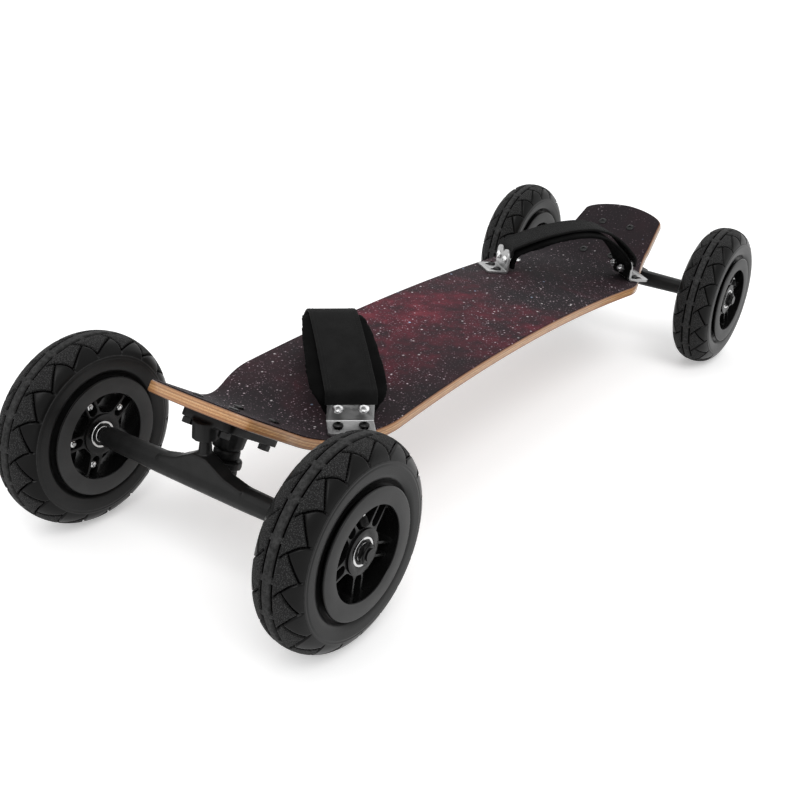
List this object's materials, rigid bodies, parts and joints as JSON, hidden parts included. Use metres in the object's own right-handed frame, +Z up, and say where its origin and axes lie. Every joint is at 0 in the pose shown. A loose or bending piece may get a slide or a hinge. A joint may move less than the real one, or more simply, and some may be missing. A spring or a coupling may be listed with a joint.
{
  "type": "mountainboard",
  "caption": "Long cambered riding deck with kicked tips, spring-centred skate trucks, air-filled tyres on split spoked hubs, and strap bindings for both feet.",
  "frame": {"origin": "on the ground, at the middle of the board between the four wheels", "axes": "+X along the deck towards its front tip, +Y to the left of a rider who looks to the front tip, +Z up"},
  "size_m": [1.0966, 0.3858, 0.2109],
  "materials": {
    "deck_wood": "laminated maple with a clear coat on its edge",
    "grip": "printed grip sheet, dark star haze",
    "truck_alloy": "satin black powder coat on cast aluminium",
    "steel": "zinc-plated steel",
    "dark_steel": "black oxide steel",
    "urethane": "moulded urethane",
    "tyre": "matte black rubber with block tread",
    "tube_rubber": "black butyl rubber",
    "hub_plastic": "semi-gloss black glass-filled nylon",
    "bracket_steel": "polished aluminium",
    "webbing": "black woven webbing",
    "pad_fabric": "black neoprene-covered foam"
  },
  "bodies": {
    "board": {"deck": "deck_wood", "grip_sheet": "grip", "front_truck_baseplate": "truck_alloy", "front_pivot_cup": "urethane", "front_kingpin": "steel", "front_kingpin_nut": "steel", "front_upper_bushing": "urethane", "front_lower_bushing": "urethane", "front_truck_bolt_1": "dark_steel", "front_truck_bolt_2": "dark_steel", "front_truck_bolt_3": "dark_steel", "front_truck_bolt_4": "dark_steel", "rear_truck_baseplate": "truck_alloy", "rear_pivot_cup": "urethane", "rear_kingpin": "steel", "rear_kingpin_nut": "steel", "rear_upper_bushing": "urethane", "rear_lower_bushing": "urethane", "rear_truck_bolt_1": "dark_steel", "rear_truck_bolt_2": "dark_steel", "rear_truck_bolt_3": "dark_steel", "rear_truck_bolt_4": "dark_steel", "front_left_bracket": "bracket_steel", "front_right_bracket": "bracket_steel", "front_strap": "webbing", "front_pad": "pad_fabric", "rear_left_bracket": "bracket_steel", "rear_right_bracket": "bracket_steel", "rear_strap": "webbing", "rear_pad": "pad_fabric"},
    "front_hanger_body": {"front_truck_hanger": "truck_alloy", "front_axle": "dark_steel", "front_left_axle_nut": "dark_steel", "front_right_axle_nut": "dark_steel"},
    "rear_hanger_body": {"rear_truck_hanger": "truck_alloy", "rear_axle": "dark_steel", "rear_left_axle_nut": "dark_steel", "rear_right_axle_nut": "dark_steel"},
    "front_left_wheel": {"front_left_tyre": "tyre", "front_left_inner_tube": "tube_rubber", "front_left_hub_outer_half": "hub_plastic", "front_left_hub_inner_half": "hub_plastic", "front_left_wheel_bearings": "steel"},
    "front_right_wheel": {"front_right_tyre": "tyre", "front_right_inner_tube": "tube_rubber", "front_right_hub_outer_half": "hub_plastic", "front_right_hub_inner_half": "hub_plastic", "front_right_wheel_bearings": "steel"},
    "rear_left_wheel": {"rear_left_tyre": "tyre", "rear_left_inner_tube": "tube_rubber", "rear_left_hub_outer_half": "hub_plastic", "rear_left_hub_inner_half": "hub_plastic", "rear_left_wheel_bearings": "steel"},
    "rear_right_wheel": {"rear_right_tyre": "tyre", "rear_right_inner_tube": "tube_rubber", "rear_right_hub_outer_half": "hub_plastic", "rear_right_hub_inner_half": "hub_plastic", "rear_right_wheel_bearings": "steel"}
  },
  "joints": [
    {"name": "front_steer", "type": "hinge", "parent": "board", "child": "front_hanger_body", "pos_m": [0.44625, 0, 0.14869], "axis": [0.528, 0, 0.8493], "range_deg": [-15, 15], "stiffness_Nm_per_rad": 90, "deforming": ["front_upper_bushing", "front_lower_bushing"]},
    {"name": "rear_steer", "type": "hinge", "parent": "board", "child": "rear_hanger_body", "pos_m": [-0.44625, 0, 0.14869], "axis": [-0.528, 0, 0.8493], "range_deg": [-15, 15], "stiffness_Nm_per_rad": 90, "deforming": ["rear_upper_bushing", "rear_lower_bushing"]},
    {"name": "front_left_wheel_spin", "type": "hinge", "parent": "front_hanger_body", "child": "front_left_wheel", "pos_m": [0.44835, 0.1616, 0.1], "axis": [0, 1, 0], "continuous": true},
    {"name": "front_right_wheel_spin", "type": "hinge", "parent": "front_hanger_body", "child": "front_right_wheel", "pos_m": [0.44835, -0.1616, 0.1], "axis": [0, 1, 0], "continuous": true},
    {"name": "rear_left_wheel_spin", "type": "hinge", "parent": "rear_hanger_body", "child": "rear_left_wheel", "pos_m": [-0.44835, 0.1616, 0.1], "axis": [0, 1, 0], "continuous": true},
    {"name": "rear_right_wheel_spin", "type": "hinge", "parent": "rear_hanger_body", "child": "rear_right_wheel", "pos_m": [-0.44835, -0.1616, 0.1], "axis": [0, 1, 0], "continuous": true}
  ]
}
